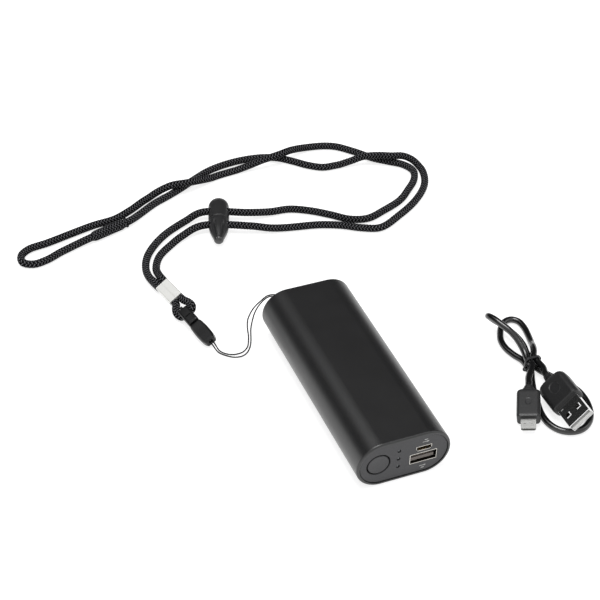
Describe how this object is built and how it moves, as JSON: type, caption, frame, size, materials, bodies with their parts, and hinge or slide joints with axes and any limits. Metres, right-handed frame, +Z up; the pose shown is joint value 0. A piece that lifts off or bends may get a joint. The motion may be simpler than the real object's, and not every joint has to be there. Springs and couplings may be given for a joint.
{
  "type": "rechargeable hand warmer",
  "caption": "Pocket hand warmer in a rounded metal sleeve, with a power button, light windows, charging and output sockets, a corded lanyard with clip and slide bead, and a tied charging cable.",
  "frame": {"origin": "bottom centre of the warmer's body, on the surface it lies on", "axes": "+X to the right of the socket face, +Y from the socket face to the far face, +Z up"},
  "size_m": [0.2268, 0.2532, 0.0242],
  "materials": {
    "anodised_sleeve": "bead-blasted black anodising",
    "cap_plastic": "fine moulded texture",
    "button_plastic": "satin",
    "switch_actuator": "plain",
    "switch_housing": "plain",
    "circuit_board": "solder mask",
    "led_lens": "clear lens",
    "light_guide_clear": "clear acrylic",
    "socket_shell_steel": "nickel-plated steel",
    "socket_tongue_white": "plain",
    "socket_tongue_black": "plain",
    "chip_resin": "moulded resin",
    "inductor_ferrite": "ferrite",
    "capacitor_ceramic": "ceramic",
    "cell_wrap": "shrink wrap",
    "nickel_strip": "plain",
    "holder_plastic": "plain",
    "heater_film": "polyimide film",
    "insulation_foam": "felted foam",
    "thermistor_bead": "epoxy bead",
    "lead_red": "silicone sheath",
    "lead_black": "silicone sheath",
    "tether_string_black": "fine braid",
    "clip_plastic": "satin moulding",
    "braided_cord": "round braid",
    "crimp_nickel": "nickel plate",
    "bead_plastic": "semi-gloss",
    "cable_jacket": "smooth vinyl",
    "plug_overmould": "satin vinyl",
    "plug_shell_nickel": "nickel plate",
    "tie_wire": "flat coated wire"
  },
  "bodies": {
    "warmer": {"sleeve": "anodised_sleeve", "front_cap": "cap_plastic", "rear_cap": "cap_plastic", "tact_switch": "switch_housing", "indicator_board": "circuit_board", "status_leds": "led_lens", "light_guide": "light_guide_clear", "main_board": "circuit_board", "usb_a_socket": "socket_shell_steel", "usb_a_tongue": "socket_tongue_white", "micro_usb_socket": "socket_shell_steel", "micro_usb_tongue": "socket_tongue_black", "controller_chip": "chip_resin", "boost_inductor": "inductor_ferrite", "capacitors": "capacitor_ceramic", "mosfets": "chip_resin", "cell_left": "cell_wrap", "cell_right": "cell_wrap", "nickel_strip_front": "nickel_strip", "nickel_strip_rear": "nickel_strip", "cell_holder_front": "holder_plastic", "cell_holder_rear": "holder_plastic", "heater_film_top": "heater_film", "heater_film_bottom": "heater_film", "insulation_pad_top": "insulation_foam", "insulation_pad_bottom": "insulation_foam", "thermistor": "thermistor_bead", "battery_lead_red": "lead_red", "battery_lead_black": "lead_black", "heater_leads": "lead_red", "rear_foam_pad": "insulation_foam", "tether_string": "tether_string_black", "buckle_socket": "clip_plastic"},
    "power_button": {"power_button": "button_plastic", "switch_plunger": "switch_actuator"},
    "lanyard": {"buckle_plug": "clip_plastic", "lanyard_eye_loop": "braided_cord", "cord_crimp": "crimp_nickel", "lanyard_cord": "braided_cord", "splice_sleeve": "braided_cord"},
    "slide_bead": {"slide_bead_head": "bead_plastic", "slide_bead_tail": "bead_plastic"},
    "charging_cable": {"cable_cord": "cable_jacket", "usb_a_plug_body": "plug_overmould", "usb_a_plug_shell": "plug_shell_nickel", "usb_a_plug_insert": "socket_tongue_white", "micro_plug_body": "plug_overmould", "micro_plug_shell": "plug_shell_nickel", "cable_tie": "tie_wire"}
  },
  "joints": [
    {"name": "button_press", "type": "slide", "parent": "warmer", "child": "power_button", "axis": [0, 1, 0], "range_m": [0, 0.0005], "stiffness_N_per_m": 200},
    {"name": "clip_release", "type": "slide", "parent": "warmer", "child": "lanyard", "axis": [-0.1945, 0.9808, 0.0155], "range_m": [0, 0.016]},
    {"name": "bead_slide", "type": "slide", "parent": "lanyard", "child": "slide_bead", "axis": [0.9397, -0.342, 0], "range_m": [-0.004, 0.01]},
    {"name": "cable_set_aside", "type": "slide", "parent": "warmer", "child": "charging_cable", "axis": [1, 0, 0], "range_m": [0, 0.04]}
  ]
}
